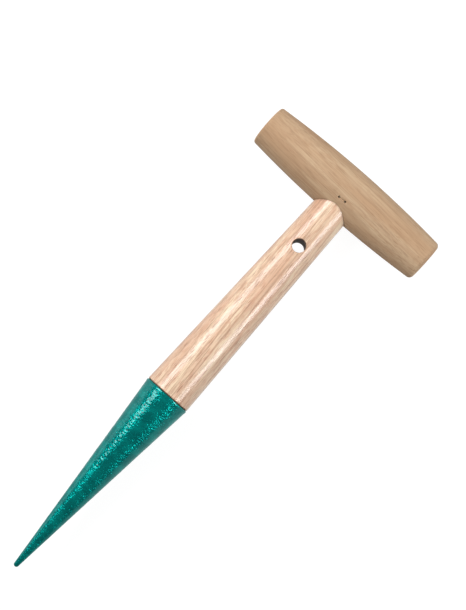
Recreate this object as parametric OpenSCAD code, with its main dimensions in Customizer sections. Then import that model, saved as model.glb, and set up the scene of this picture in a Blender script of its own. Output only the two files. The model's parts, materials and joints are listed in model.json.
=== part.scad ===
// Garden dibber: a turned wooden crosspiece on a tapered shaft, shod with a hollow steel point.
// It lies on its back. +Y runs from the point to the crosspiece, +X along the crosspiece and +Z up.
// The origin is under the middle of its length. Millimetres.

/* [Crosspiece] */
// Length of the crosspiece, end to end
handle_length = 112.5; // [90:0.5:140]
// Diameter at the middle of the crosspiece
handle_mid_d = 28.8; // [23.5:0.1:36]
// Diameter at both ends of the crosspiece, before the edges are rounded
handle_end_d = 23.8; // [18:0.1:30]
// Rounding of the left end's edge
left_edge_r = 1.4; // [0.4:0.1:4]
// Rounding of the right end's edge
right_edge_r = 2.6; // [0.4:0.1:4]
// Depth of the socket for the shaft, from the crosspiece's underside
socket_depth = 19; // [15:0.5:22]

/* [Shaft] */
// Distance from the point's rim to the crosspiece's axis
shaft_run = 144.5; // [110:0.5:180]
// Shaft diameter where it enters the crosspiece
shaft_top_d = 21.1; // [17:0.1:23]
// Rounding of the shaft's shoulder on the point's rim
shoulder_r = 0.9; // [0.3:0.1:1.1]
// Length of the wooden tenon inside the point
tenon_length = 45; // [30:0.5:60]
// Bevel on the shaft's two end faces
tenon_bevel = 0.6; // [0.2:0.1:1.5]

/* [Hanging hole] */
// Diameter of the hole through the shaft
hang_hole_d = 7.5; // [5:0.1:10]
// Distance from the hole's axis to the crosspiece's axis
hang_hole_drop = 39.3; // [25:0.5:60]

/* [Steel point] */
// Length of the point, from its tip to its rim
point_length = 121; // [90:0.5:150]
// Outer diameter at the point's rim
point_rim_d = 27.5; // [24:0.1:33]
// Radius of the point's rounded nose
nose_r = 1.45; // [0.8:0.05:2.5]
// Thickness of the steel
point_wall = 1.2; // [0.8:0.1:1.6]
// Length of solid steel at the tip, before the hollow starts
solid_tip = 25; // [18:0.5:40]
// Rounding of the rim's outer edge
rim_edge_r = 0.5; // [0.2:0.1:0.7]
// Step from the rim's edge in to the wood of the shaft
rim_step = 0.25; // [0:0.05:0.5]

/* [Joint staple] */
// Width of the staple over both legs
staple_crown = 5.2; // [4.5:0.1:10]
// Length of the staple's legs, crown included
staple_leg = 14; // [8:0.5:16]
// Width of the staple's wire
staple_wire_w = 1.1; // [0.8:0.05:1.4]
// Thickness of the staple's wire
staple_wire_t = 0.7; // [0.5:0.05:1]
// Depth of the staple's crown below the wood
staple_sink = 0.7; // [0.2:0.1:1.5]
// Distance from the crown to the crosspiece's axis, towards the point
staple_drop = 6; // [2:0.1:9]
// Distance from the crown's middle to the shaft's axis
staple_side = 0.8; // [-2:0.1:2]

/* [Point nail] */
// Diameter of the nail that holds the point
nail_d = 1.6; // [1:0.1:2.2]
// Diameter of the nail's countersunk head
nail_head_d = 3.2; // [2.5:0.1:4]
// Height of the nail's countersunk head
nail_head_h = 0.8; // [0.5:0.1:1.1]
// Depth of the nail's head below the point's skin
nail_sink = 0.15; // [0.15:0.05:0.4]
// Length of the nail, head included
nail_length = 14; // [8:0.5:20]
// Distance from the nail to the point's rim
nail_drop = 8; // [4:0.5:20]

/* [Fits] */
// Gap for glue round the shaft in its socket
socket_gap = 0.05; // [0.02:0.01:0.2]
// Gap round the wooden tenon in the point
tenon_gap = 0.1; // [0.05:0.01:0.3]
// Gap round the driven staple and nail
drive_gap = 0.03; // [0.02:0.01:0.1]

/* [Hidden] */
$fn = 96;
// Steps of each rounded edge, and of each half of the crosspiece's long curve
EDGE_STEPS = 8;
BARREL_STEPS = 20;
// Angle off the point's axis at which the round of its nose starts
NOSE_FLAT = 8;
// Most of the shoulder's width that its round may take
SEAT_SHARE = 0.8;
// How far a cutting shape runs past the wood that it opens
CUT_PAST = 1;

BARE_WOOD = [0.78, 0.66, 0.51];
LACQUERED_WOOD = [0.90, 0.78, 0.68];
GREEN_ENAMEL = [0.02, 0.44, 0.40];
STEEL = [0.62, 0.62, 0.60];

handle_r = handle_mid_d / 2;
rim_r = point_rim_d / 2;
overall_length = point_length + shaft_run + handle_r;
axis_z = max(handle_r, rim_r);
tip_y = -overall_length / 2;

// Heights above the tip, along the shaft
cross_h = point_length + shaft_run;
socket_mouth_h = cross_h - handle_r;
socket_floor_h = socket_mouth_h + socket_depth;
hang_hole_h = cross_h - hang_hole_drop;
nail_h = point_length - nail_drop;

// The nose is round about this centre, and its very tip is worn to a small flat
nose_h = nose_r * cos(NOSE_FLAT);

// The point's side runs from its rim to where it meets the round nose
rim_reach = norm([rim_r, point_length - nose_h]);
point_angle = atan2(rim_r, point_length - nose_h) - asin(nose_r / rim_reach);

// Outer and inner radius of the point at a height above its tip
function point_r(h) = rim_r - (point_length - h) * tan(point_angle);
function hollow_r(h) = point_r(h) - point_wall / cos(point_angle);
function tenon_r(h) = hollow_r(h) - tenon_gap;

// The shaft's shoulder covers the rim's end face, and its round leaves part of that to sit on
shaft_low_r = rim_r - rim_step;
shoulder_seat = shaft_low_r - tenon_r(point_length);
shoulder_round = min(shoulder_r, shoulder_seat * SEAT_SHARE);

// Radius of the crosspiece at a distance from its middle: a parabola between the two diameters
function barrel_r(x) = handle_r - (handle_mid_d - handle_end_d) / 2 * pow(2 * x / handle_length, 2);

// Points of a round edge of radius r about a centre, from one angle to another
function arc(centre, r, from, to) = [
    for (i = [0:EDGE_STEPS])
        let (a = from + (to - from) * i / EDGE_STEPS)
        centre + r * [cos(a), sin(a)]
];

// Stands its children on the tip, with their Z along the shaft
module along_shaft() {
    translate([0, tip_y, axis_z])
        rotate([-90, 0, 0])
            children();
}

// Puts its children at the middle of the crosspiece, with their Z along it
module along_handle() {
    translate([0, tip_y + cross_h, axis_z])
        rotate([0, 90, 0])
            children();
}

// Puts its children on the shaft's axis at a height above the tip, with Z up
module across_shaft(h) {
    translate([0, tip_y + h, axis_z])
        children();
}

// Half outline of the turned crosspiece, its left end at the bottom
module handle_outline() {
    half = handle_length / 2;
    left_x = left_edge_r - half;
    right_x = half - right_edge_r;
    polygon(concat(
        [[0, -half]],
        arc([barrel_r(left_x) - left_edge_r, left_x], left_edge_r, -90, 0),
        [
            for (i = [BARREL_STEPS - 1:-1:0])
                let (x = left_x * i / BARREL_STEPS)
                [barrel_r(x), x]
        ],
        [
            for (i = [1:BARREL_STEPS - 1])
                let (x = right_x * i / BARREL_STEPS)
                [barrel_r(x), x]
        ],
        arc([barrel_r(right_x) - right_edge_r, right_x], right_edge_r, 0, 90),
        [[0, half]]
    ));
}

// Half outline of the shaft: tenon, shoulder, long taper and the parallel end for the socket
module shaft_outline() {
    tenon_h = point_length - tenon_length;
    top_r = shaft_top_d / 2;
    polygon(concat(
        [
            [0, tenon_h],
            [tenon_r(tenon_h) - tenon_bevel, tenon_h],
            [tenon_r(tenon_h), tenon_h + tenon_bevel],
            [tenon_r(point_length), point_length]
        ],
        arc(
            [shaft_low_r - shoulder_round, point_length + shoulder_round],
            shoulder_round, -90, 0
        ),
        [
            [top_r, socket_mouth_h],
            [top_r, socket_floor_h - tenon_bevel],
            [top_r - tenon_bevel, socket_floor_h],
            [0, socket_floor_h]
        ]
    ));
}

// Half outline of the hollow point, from its round nose to its rim
module point_outline() {
    edge_h = point_length - rim_edge_r;
    polygon(concat(
        [[0, 0]],
        arc([0, nose_h], nose_r, NOSE_FLAT - 90, -point_angle),
        arc([point_r(edge_h) - rim_edge_r, edge_h], rim_edge_r, 0, 90),
        [
            [hollow_r(point_length), point_length],
            [hollow_r(solid_tip), solid_tip],
            [0, solid_tip]
        ]
    ));
}

// Flat shape of the staple, its legs down from a crown at height 0, with a gap all round
module staple_shape(gap) {
    outer = staple_crown / 2 + gap;
    inner = staple_crown / 2 - staple_wire_t - gap;
    tip = -staple_leg - gap;
    slant = staple_wire_t;
    polygon([
        [-outer, gap],
        [outer, gap],
        [outer, tip],
        [inner, tip + slant],
        [inner, -staple_wire_t - gap],
        [-inner, -staple_wire_t - gap],
        [-inner, tip + slant],
        [-outer, tip]
    ]);
}

// The staple points at the crosspiece's axis, and its crown lies along the crosspiece
module at_staple() {
    tilt = asin(staple_drop / handle_r);
    across_shaft(cross_h)
        rotate([tilt, 0, 0])
            translate([staple_side, 0, handle_r - staple_sink])
                rotate([90, 0, 0])
                    children();
}

module staple_slot() {
    width = staple_wire_w + 2 * drive_gap;
    mouth = staple_crown + 2 * drive_gap;
    at_staple()
        linear_extrude(width, center = true) {
            staple_shape(drive_gap);
            translate([-mouth / 2, 0])
                square([mouth, staple_sink + CUT_PAST]);
        }
}

// The nail stands square to the point's underside, with its head at height 0
module at_nail() {
    across_shaft(nail_h)
        translate([0, 0, -point_r(nail_h)])
            rotate([-point_angle, 0, 0])
                translate([0, 0, nail_sink])
                    children();
}

// A countersunk nail with a gap all round
module nail_body(gap) {
    taper_h = 2 * nail_d;
    shank_d = nail_d + 2 * gap;
    tip_d = nail_d / 4;
    cylinder(h = nail_head_h, d1 = nail_head_d + 2 * gap, d2 = shank_d);
    cylinder(h = nail_length - taper_h, d = shank_d);
    translate([0, 0, nail_length - taper_h])
        cylinder(h = taper_h + gap, d1 = shank_d, d2 = tip_d);
}

// The nail's hole, opened outwards past the point's skin
module nail_hole() {
    at_nail() {
        nail_body(drive_gap);
        translate([0, 0, -CUT_PAST])
            cylinder(h = CUT_PAST, d = nail_head_d + 2 * drive_gap);
    }
}

module handle() {
    color(BARE_WOOD)
        difference() {
            along_handle()
                rotate_extrude()
                    handle_outline();
            along_shaft()
                translate([0, 0, socket_mouth_h - CUT_PAST])
                    cylinder(h = socket_depth + CUT_PAST, d = shaft_top_d + 2 * socket_gap);
            staple_slot();
        }
}

module shaft() {
    color(LACQUERED_WOOD)
        difference() {
            along_shaft()
                rotate_extrude()
                    shaft_outline();
            across_shaft(hang_hole_h)
                cylinder(h = point_rim_d + 2 * CUT_PAST, d = hang_hole_d, center = true);
            staple_slot();
            nail_hole();
        }
}

module steel_point() {
    color(GREEN_ENAMEL)
        difference() {
            along_shaft()
                rotate_extrude()
                    point_outline();
            nail_hole();
        }
}

module joint_staple() {
    color(STEEL)
        at_staple()
            linear_extrude(staple_wire_w, center = true)
                staple_shape(0);
}

module point_nail() {
    color(STEEL)
        at_nail()
            nail_body(0);
}

handle();
shaft();
steel_point();
joint_staple();
point_nail();
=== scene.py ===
"""Garden dibber: a turned wooden crosspiece on a tapered, lacquered shaft with a hollow, enamelled point.

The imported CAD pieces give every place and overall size. Each sub-assembly here is a class that works out
its own surfaces as numpy arrays and dresses them with procedural finishes. Lengths are in metres.
"""

import json
import logging
import math
from collections.abc import Callable
from dataclasses import dataclass, field
from enum import Enum

import bmesh
import bpy
import numpy as np
from mathutils import Euler, Matrix, Vector


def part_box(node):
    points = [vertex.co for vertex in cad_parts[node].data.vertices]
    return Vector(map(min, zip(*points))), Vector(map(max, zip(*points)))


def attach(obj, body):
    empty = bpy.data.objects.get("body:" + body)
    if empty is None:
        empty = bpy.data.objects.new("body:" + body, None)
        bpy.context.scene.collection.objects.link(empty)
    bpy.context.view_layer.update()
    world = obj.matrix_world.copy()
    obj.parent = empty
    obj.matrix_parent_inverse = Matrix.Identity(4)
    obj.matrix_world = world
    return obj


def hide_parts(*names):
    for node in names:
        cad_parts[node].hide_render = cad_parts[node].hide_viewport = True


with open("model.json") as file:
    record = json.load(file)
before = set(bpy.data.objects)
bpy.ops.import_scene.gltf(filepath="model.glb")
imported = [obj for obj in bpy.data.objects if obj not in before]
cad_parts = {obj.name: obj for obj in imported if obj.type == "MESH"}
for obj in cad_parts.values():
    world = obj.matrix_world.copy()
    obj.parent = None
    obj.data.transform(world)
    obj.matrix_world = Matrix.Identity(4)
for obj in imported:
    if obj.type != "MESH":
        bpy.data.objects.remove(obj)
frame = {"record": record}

LOG = logging.getLogger("dibber")
MM = 0.001
FULL_TURN = 2 * math.pi
HALF_TURN = math.pi
QUARTER_TURN = math.pi / 2
X, Y, Z = np.eye(3)
MERGE_GAP = 1e-6
SLIVER = 1e-7
CIRCLE = 2.0
CLEAR_COAT_IOR = 1.5
Array = np.ndarray
Pair = tuple[float, float]
Relief = Callable[[Array], Array]


# ---------------------------------------------------------------- surfaces


def smooth(share: Array) -> Array:
    """Smooth step of a share from 0 to 1: three squares less two cubes."""
    held = np.clip(share, 0.0, 1.0)
    return held * held * (3 - 2 * held)


def line(start: Pair, end: Pair, steps: int) -> Array:
    """Outline points evenly spaced from start up to, and without, end, as a (steps, 2) array."""
    share = np.linspace(0.0, 1.0, steps, endpoint=False)[:, None]
    return (1 - share) * np.array(start) + share * np.array(end)


def arc(centre: Pair, radius: float, turns: Pair, steps: int) -> Array:
    """Outline points on an arc: the centre plus radius times (cosine, sine) of an evenly growing angle.

    Args:
        centre: (along, radius) of the arc's centre.
        radius: Radius of the arc.
        turns: First and last angle in radians, from the along direction towards the radial one.
        steps: Number of intervals.

    Returns:
        Points as a (steps + 1, 2) array.
    """
    angle = np.linspace(turns[0], turns[1], steps + 1)
    return np.array(centre) + radius * np.stack([np.cos(angle), np.sin(angle)], axis=1)


def bend(start: Array, corner: Array, end: Array, steps: int) -> Array:
    """Rows that ease a sharp corner: the quadratic curve from start to end that aims at the corner.

    Args:
        start: Points where the ease begins, (n, 3).
        corner: The sharp corner's points, (n, 3).
        end: Points where the ease ends, (n, 3).
        steps: Number of intervals.

    Returns:
        Points as a (steps + 1, n, 3) array.
    """
    share = np.linspace(0.0, 1.0, steps + 1)[:, None, None]
    return (1 - share) ** 2 * start + 2 * share * (1 - share) * corner + share**2 * end


def between(start: Array, end: Array, steps: int) -> Array:
    """Rows evenly spaced from start to end, both included, as a (steps + 1, n, 3) array."""
    share = np.linspace(0.0, 1.0, steps + 1)[:, None, None]
    return (1 - share) * start + share * end


class SolidNoise:
    """Seeded noise that fills space.

    Random heights sit at the points of a lattice of box-shaped cells, which repeats after SIDE cells. In a
    cell the height is the mix of its eight corners' heights, by a smooth step along each direction.
    """

    SIDE = 48

    def __init__(self, seed: int, cell: tuple[float, float, float]) -> None:
        """Draws the lattice.

        Args:
            seed: Seed of the random heights.
            cell: Size of a cell along X, Y and Z.
        """
        self.heights = np.random.default_rng(seed).random((self.SIDE, self.SIDE, self.SIDE))
        self.cell = np.array(cell)

    def __call__(self, points: Array) -> Array:
        """Height of the noise.

        Args:
            points: Places, as an array whose last axis is X, Y and Z.

        Returns:
            Heights from 0 to 1.
        """
        place = points / self.cell
        low = np.floor(place).astype(int)
        share = smooth(place - low)
        height = np.zeros(points.shape[:-1])
        for corner in np.ndindex(2, 2, 2):
            weight = np.where(np.array(corner) == 1, share, 1 - share).prod(axis=-1)
            index = (low + np.array(corner)) % self.SIDE
            height += weight * self.heights[index[..., 0], index[..., 1], index[..., 2]]
        return height


@dataclass
class Window:
    """A block of faces left out of a turned surface, so that an opening can be worked into it.

    Attributes:
        rows: First and last row of the block's edge.
        columns: First and last column of the block's edge.
    """

    rows: tuple[int, int]
    columns: tuple[int, int]

    def edge(self) -> tuple[Array, Array]:
        """Walks once round the block's edge.

        Returns:
            Rows and columns of the points, in order.
        """
        (low, high), (left, right) = self.rows, self.columns
        rows = np.concatenate([
            np.full(right - left, low),
            np.arange(low, high),
            np.full(right - left, high),
            np.arange(high, low, -1),
        ])
        columns = np.concatenate([
            np.arange(left, right),
            np.full(high - low, right),
            np.arange(right, left, -1),
            np.full(high - low, left),
        ])
        return rows, columns

    def cut(self, keep: Array) -> None:
        """Marks the block's faces in keep as left out."""
        keep[self.rows[0] : self.rows[1], self.columns[0] : self.columns[1]] = False


@dataclass
class Lathe:
    """A turned surface: an outline of (along, radius) points carried once round an axis.

    A point is the origin, plus its distance along the axis, plus its radius times the mix of the zero and
    quarter directions that the cosine and sine of its turn give.

    Attributes:
        origin: A point on the axis, from which distances along it are measured.
        along: Unit direction of the axis.
        zero: Unit direction at turn 0.
        quarter: Unit direction at a quarter turn.
        outline: The (along, radius) points.
        columns: Number of points round the axis.
        skin: First and last row of the outer skin, which relief sinks into and openings pierce.
        relief: Depth below the plain skin at points on it.
    """

    origin: Array
    along: Array
    zero: Array
    quarter: Array
    outline: Array
    columns: int
    skin: tuple[int, int]
    relief: Relief | None = None

    def at(self, along: Array, radius: Array, turn: Array) -> Array:
        """Points at the given places, as an array with a last axis of 3."""
        return (
            self.origin
            + along[..., None] * self.along
            + (radius * np.cos(turn))[..., None] * self.zero
            + (radius * np.sin(turn))[..., None] * self.quarter
        )

    def outward(self, turn: float) -> Array:
        """Unit direction away from the axis at a turn."""
        return math.cos(turn) * self.zero + math.sin(turn) * self.quarter

    def turns(self) -> Array:
        """Turn of each column. They start at minus a quarter turn."""
        return np.arange(self.columns) / self.columns * FULL_TURN - QUARTER_TURN

    def sink(self, points: Array) -> Array:
        """Moves points of the plain skin towards the axis by the relief.

        Args:
            points: Points on the plain skin, as an array with a last axis of 3.

        Returns:
            The moved points, in the same shape.
        """
        if self.relief is None:
            return points
        offset = points - self.origin
        cosine = offset @ self.zero
        sine = offset @ self.quarter
        radius = np.hypot(sine, cosine) - self.relief(points)
        return self.at(offset @ self.along, radius, np.arctan2(sine, cosine))

    def grid(self) -> Array:
        """Turns the outline and sinks the relief into its skin.

        Returns:
            All points of the surface, as a (rows, columns, 3) array.
        """
        along = np.repeat(self.outline[:, :1], self.columns, axis=1)
        radius = np.repeat(self.outline[:, 1:], self.columns, axis=1)
        points = self.at(along, radius, np.repeat(self.turns()[None], len(self.outline), axis=0))
        first, last = self.skin
        points[first : last + 1] = self.sink(points[first : last + 1])
        return points

    def window(self, centre: Pair, half: Pair) -> Window:
        """Chooses the block of the skin's faces round a place.

        Args:
            centre: Place (along, turn) of the opening.
            half: Half size of the block along the axis, and round it in radians.

        Returns:
            The block, snapped outwards to rows and columns.
        """
        first, last = self.skin
        along = self.outline[first : last + 1, 0]
        inside = np.nonzero(np.abs(along - centre[0]) < half[0])[0] + first
        left = (centre[1] - half[1] + QUARTER_TURN) / FULL_TURN * self.columns
        right = (centre[1] + half[1] + QUARTER_TURN) / FULL_TURN * self.columns
        return Window((int(inside[0]) - 1, int(inside[-1]) + 1), (math.floor(left), math.ceil(right)))

    def lift(self, plan: Array, centre: Pair) -> Array:
        """Raises flat points square to the axis until they lie on the plain skin.

        The height above the axis is the root of the skin's radius squared less the side offset squared.

        Args:
            plan: Flat (side, along) offsets from the centre, as an array with a last axis of 2.
            centre: Place (along, turn) over which the flat points lie.

        Returns:
            Points with a last axis of 3.
        """
        stretch = self.outline[self.skin[0] : self.skin[1] + 1]
        order = np.argsort(stretch[:, 0])
        side = plan[..., 0]
        along = centre[0] + plan[..., 1]
        radius = np.interp(along, stretch[order, 0], stretch[order, 1])
        height = np.sqrt(radius**2 - side**2)
        return self.at(along, np.hypot(height, side), centre[1] + np.arctan2(side, height))


@dataclass
class Opening:
    """An opening worked into a turned surface's skin, square to its axis.

    Its outline is the curve on which the sum of both half shares, each to the power of squareness, is 1:
    a circle at CIRCLE and nearly a rectangle at 8.

    Attributes:
        lathe: The surface.
        place: Place (along, turn) of its centre on the surface.
        half: Half width across the surface's axis, and half length along it.
        margin: Width of the worked patch round it.
        radius: Radius of the surface about there.
        squareness: Power of its outline.
        window: Block of faces that it replaces.
    """

    lathe: Lathe
    place: Pair
    half: Pair
    margin: float
    radius: float
    squareness: float = CIRCLE
    window: Window = field(init=False)

    def __post_init__(self) -> None:
        """Chooses the block of faces to leave out."""
        side, length = self.half
        round_half = math.asin(min(1.0, side / self.radius)) + self.margin / self.radius
        self.window = self.lathe.window(self.place, (length + self.margin, round_half))

    def flat_edge(self) -> Array:
        """Lays the block's edge out flat.

        Returns:
            (side, along) offsets of its points from the opening's centre, (n, 2).
        """
        rows, columns = self.window.edge()
        along, radius = self.lathe.outline[rows].T
        turn = self.lathe.turns()[columns] - self.place[1]
        return np.stack([radius * np.sin(turn), along - self.place[0]], axis=1)

    def rim(self, grow: float = 0.0) -> Array:
        """Works out the outline, with one point for each point of the block's edge.

        Both offsets of a point of the edge are raised to the power and added, and the point is divided by
        that sum's root, which puts it on the curve. It is then multiplied by the half size. For a squarer
        outline the offsets are first taken as shares of the block's half size.

        Args:
            grow: Width by which the outline is grown.

        Returns:
            Flat (side, along) points, (n, 2).
        """
        flat = self.flat_edge()
        shares = flat if self.squareness == CIRCLE else flat / np.abs(flat).max(axis=0)
        size = (np.abs(shares) ** self.squareness).sum(axis=1) ** (1 / self.squareness)
        return shares / size[:, None] * (np.array(self.half) + grow)

    def lay(self, plan: Array) -> Array:
        """Flat (side, along) offsets from the centre laid on the surface, with its relief."""
        return self.lathe.sink(self.lathe.lift(plan, self.place))

    def patch(self, grow: float, steps: int = 6) -> Array:
        """Rows from the block's edge to the opening's outline, laid on the surface with its relief.

        Args:
            grow: Width between the outline and the patch's inner edge, where an eased edge begins.
            steps: Number of intervals.

        Returns:
            Points as a (steps + 1, n, 3) array.
        """
        share = np.linspace(0.0, 1.0, steps + 1)[:, None, None]
        return self.lay((1 - share) * self.flat_edge() + share * self.rim(grow))

    def mouth(self, ease: float, patch_steps: int, ease_steps: int) -> Array:
        """Rows of the patch and of the eased edge that leads down from it.

        Args:
            ease: Width of the eased edge.
            patch_steps: Number of intervals of the patch.
            ease_steps: Number of intervals of the eased edge.

        Returns:
            Points as an (m, n, 3) array, whose last row is the top of the wall.
        """
        patch = self.patch(ease, patch_steps)
        corner = self.lay(self.rim())
        wall_top = corner - ease * self.lathe.outward(self.place[1])
        return np.concatenate([patch, bend(patch[-1], corner, wall_top, ease_steps)[1:]])

    def pocket(self, depths: Callable[[Array], Array], steps: int) -> Array:
        """Floor of a blind opening, from its outline in to its centre.

        Args:
            depths: Depth below the surface at distances along its axis from the centre.
            steps: Number of intervals.

        Returns:
            Points as a (steps + 1, n, 3) array.
        """
        share = np.linspace(1.0, 0.0, steps + 1)[:, None, None]
        plan = share * self.rim()
        return self.lay(plan) - depths(plan[..., 1])[..., None] * self.lathe.outward(self.place[1])


class Shell:
    """Gathers grids of points into one closed mesh."""

    def __init__(self) -> None:
        """Starts with no points."""
        self.points: list[Array] = []
        self.faces: list[Array] = []
        self.count = 0

    @classmethod
    def turned(cls, lathe: Lathe, worked: list[tuple[Opening, Array]]) -> "Shell":
        """Gathers a turned surface and the openings worked into it.

        Args:
            lathe: The surface.
            worked: Each opening, with the rows that line it.

        Returns:
            The shell.
        """
        shell = cls()
        keep = np.ones((len(lathe.outline) - 1, lathe.columns), bool)
        for opening, rows in worked:
            opening.window.cut(keep)
            shell.add(rows)
        shell.add(lathe.grid(), keep)
        return shell

    def add(self, grid: Array, keep: Array | None = None) -> None:
        """Adds a grid of four-sided faces that closes on itself round its columns.

        Args:
            grid: Points as a (rows, columns, 3) array.
            keep: Which faces to keep, as a (rows - 1, columns) array of booleans, or None for all.
        """
        rows, columns = grid.shape[:2]
        index = np.arange(rows * columns).reshape(rows, columns) + self.count
        right = np.roll(index, -1, axis=1)
        faces = np.stack([index[:-1], right[:-1], right[1:], index[1:]], axis=-1)
        if keep is not None:
            faces = faces[keep]
        self.points.append(grid.reshape(-1, 3))
        self.faces.append(faces.reshape(-1, 4))
        self.count += rows * columns

    def build(self, name: str, crease: float = 40.0) -> bpy.types.Object:
        """Merges the seams and poles, turns the faces outwards and makes the object.

        Args:
            name: Name of the piece.
            crease: Angle in degrees above which an edge is drawn sharp.

        Returns:
            The piece, at the origin.
        """
        used, corners = np.unique(np.concatenate(self.faces), return_inverse=True)
        points = np.concatenate(self.points)[used]
        mesh = bpy.data.meshes.new(name)
        mesh.from_pydata(points.tolist(), [], corners.reshape(-1, 4).tolist())
        work = bmesh.new()
        work.from_mesh(mesh)
        bmesh.ops.remove_doubles(work, verts=work.verts, dist=MERGE_GAP)
        bmesh.ops.dissolve_degenerate(work, edges=work.edges, dist=SLIVER)
        bmesh.ops.recalc_face_normals(work, faces=work.faces)
        work.to_mesh(mesh)
        work.free()
        mesh.shade_smooth()
        mesh.set_sharp_from_angle(angle=math.radians(crease))
        piece = bpy.data.objects.new(name, mesh)
        bpy.context.scene.collection.objects.link(piece)
        return piece


# ---------------------------------------------------------------- shader graphs


class Signal:
    """An output of a shader node. Sums on it add Math nodes."""

    def __init__(self, graph: "Graph", socket: bpy.types.NodeSocket) -> None:
        """Wraps a socket of the graph."""
        self.graph = graph
        self.socket = socket

    def math(self, operation: str, *others: "Signal | float") -> "Signal":
        """A Math node of that operation, with this signal first."""
        return self.graph.node("ShaderNodeMath", {"operation": operation}, dict(enumerate((self, *others))))

    def __add__(self, other: "Signal | float") -> "Signal":
        """Sum."""
        return self.math("ADD", other)

    def __radd__(self, other: float) -> "Signal":
        """Sum with a number before it."""
        return self.math("ADD", other)

    def __sub__(self, other: "Signal | float") -> "Signal":
        """Difference."""
        return self.math("SUBTRACT", other)

    def __rsub__(self, other: float) -> "Signal":
        """A number less this signal."""
        return self.graph.node("ShaderNodeMath", {"operation": "SUBTRACT"}, {0: other, 1: self})

    def __mul__(self, other: "Signal | float") -> "Signal":
        """Product."""
        return self.math("MULTIPLY", other)

    def __rmul__(self, other: float) -> "Signal":
        """Product with a number before it."""
        return self.math("MULTIPLY", other)

    def hypot(self, other: "Signal") -> "Signal":
        """Root of the sum of both squares."""
        return (self * self + other * other).math("SQRT")

    def rise(self, start: float, end: float) -> "Signal":
        """0 below start, 1 above end and a smooth step between; start may be the larger."""
        inputs = {"Value": self, "From Min": start, "From Max": end}
        return self.graph.node("ShaderNodeMapRange", {"interpolation_type": "SMOOTHSTEP"}, inputs)

    def span(self, low: float, high: float) -> "Signal":
        """This share from 0 to 1 spread over low to high."""
        return self.graph.node("ShaderNodeMapRange", {}, {"Value": self, "To Min": low, "To Max": high})


Colour = tuple[float, float, float]
Shade = Signal | Colour


def srgb(red: int, green: int, blue: int) -> Colour:
    """Linear colour of a paint chip, by the display standard's own curve.

    Args:
        red: Display value from 0 to 255.
        green: Display value from 0 to 255.
        blue: Display value from 0 to 255.

    Returns:
        The linear colour.
    """
    shares = [value / 255 for value in (red, green, blue)]
    linear = [s / 12.92 if s <= 0.04045 else ((s + 0.055) / 1.055) ** 2.4 for s in shares]
    return linear[0], linear[1], linear[2]


@dataclass(frozen=True)
class Layer:
    """A layer of a finish's pattern: fractal noise, and the heights between which it comes to show.

    Attributes:
        scale: Waves of the noise per millimetre.
        detail: Number of finer and finer waves.
        roughness: Strength of the finer waves.
        warp: How far the waves are bent.
        squeeze: Share of the place along the fibres that counts, so that a small one draws the noise out.
        start: Height at which the layer begins to show.
        full: Height from which it shows in full.
        share: How much it then shows.
    """

    scale: float
    detail: float
    roughness: float
    warp: float = 0.0
    squeeze: float = 1.0
    start: float = 0.0
    full: float = 1.0
    share: float = 1.0

    def shown(self, height: Signal) -> Signal:
        """How much the layer shows where its noise has a height."""
        return height.rise(self.start, self.full) * self.share


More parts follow.
